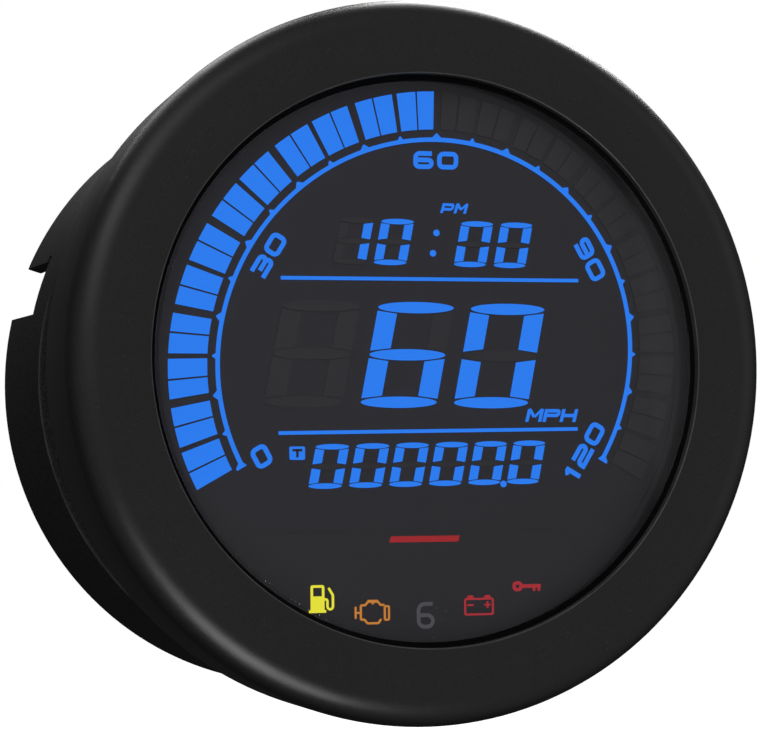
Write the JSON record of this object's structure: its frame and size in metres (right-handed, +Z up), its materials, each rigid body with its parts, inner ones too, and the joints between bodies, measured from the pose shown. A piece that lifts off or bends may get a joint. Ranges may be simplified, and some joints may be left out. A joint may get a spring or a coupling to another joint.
{
  "type": "instrument cluster",
  "caption": "Round motorcycle gauge with a wide satin black bezel, a stepped lens over a segment display, and a notched rear skirt around its studs and socket.",
  "frame": {"origin": "middle of the flat pad on the rear cover that a bracket is bolted to", "axes": "+Y along the gauge axis out of the back, so the dial looks towards -Y; +Z up with the figures upright; +X to the right of someone reading the dial"},
  "size_m": [0.1086, 0.0764, 0.1086],
  "materials": {
    "bezel_black": "satin black anodised or powder coated",
    "lens_clear": "lightly smoked clear lens",
    "case_black": "fine grained black moulding",
    "rubber_black": "matte black rubber",
    "display_dark": "dark display film",
    "display_glass": "clear display glass",
    "white_plastic": "white reflector moulding",
    "board_green": "green solder mask on glass-fibre board",
    "chip_black": "moulded chip package",
    "zinc_steel": "zinc plated",
    "contact_tin": "tinned contact"
  },
  "bodies": {
    "gauge": {"bezel_ring": "bezel_black", "lens": "lens_clear", "lens_seal": "rubber_black", "face_mask": "display_dark", "front_polariser": "display_dark", "lcd_front_glass": "display_glass", "lcd_rear_glass": "display_glass", "rear_polariser": "display_dark", "diffuser_sheet": "white_plastic", "conductive_strip_upper": "rubber_black", "conductive_strip_lower": "rubber_black", "light_box": "white_plastic", "main_board": "board_green", "board_screw_1": "zinc_steel", "board_screw_2": "zinc_steel", "board_screw_3": "zinc_steel", "backlight_led_1": "white_plastic", "backlight_led_2": "white_plastic", "backlight_led_3": "white_plastic", "backlight_led_4": "white_plastic", "telltale_led_1": "white_plastic", "telltale_led_2": "white_plastic", "telltale_led_3": "white_plastic", "telltale_led_4": "white_plastic", "telltale_led_5": "white_plastic", "microcontroller": "chip_black", "ribbon_socket_front": "white_plastic", "ribbon_cable": "white_plastic", "ribbon_socket_rear": "white_plastic", "power_board": "board_green", "power_board_screw_1": "zinc_steel", "power_board_screw_2": "zinc_steel", "capacitor": "chip_black", "voltage_regulator": "chip_black", "front_housing": "case_black", "case_seal": "rubber_black", "rear_cover": "case_black", "case_screw_1": "zinc_steel", "case_screw_2": "zinc_steel", "case_screw_3": "zinc_steel", "case_screw_4": "zinc_steel", "vent_plug": "rubber_black", "stud_left": "zinc_steel", "stud_right": "zinc_steel", "rubber_washer_left": "rubber_black", "rubber_washer_right": "rubber_black", "steel_washer_left": "zinc_steel", "steel_washer_right": "zinc_steel", "lock_nut_left": "zinc_steel", "lock_nut_right": "zinc_steel", "connector_shell": "case_black", "contact_1": "contact_tin", "contact_2": "contact_tin", "contact_3": "contact_tin", "contact_4": "contact_tin", "mode_switch": "chip_black"},
    "button": {"mode_button": "rubber_black", "button_seal": "rubber_black", "switch_stem": "white_plastic"}
  },
  "joints": [
    {"name": "mode_button_press", "type": "slide", "parent": "gauge", "child": "button", "axis": [0, -1, 0], "range_m": [0, 0.0015], "stiffness_N_per_m": 900}
  ]
}
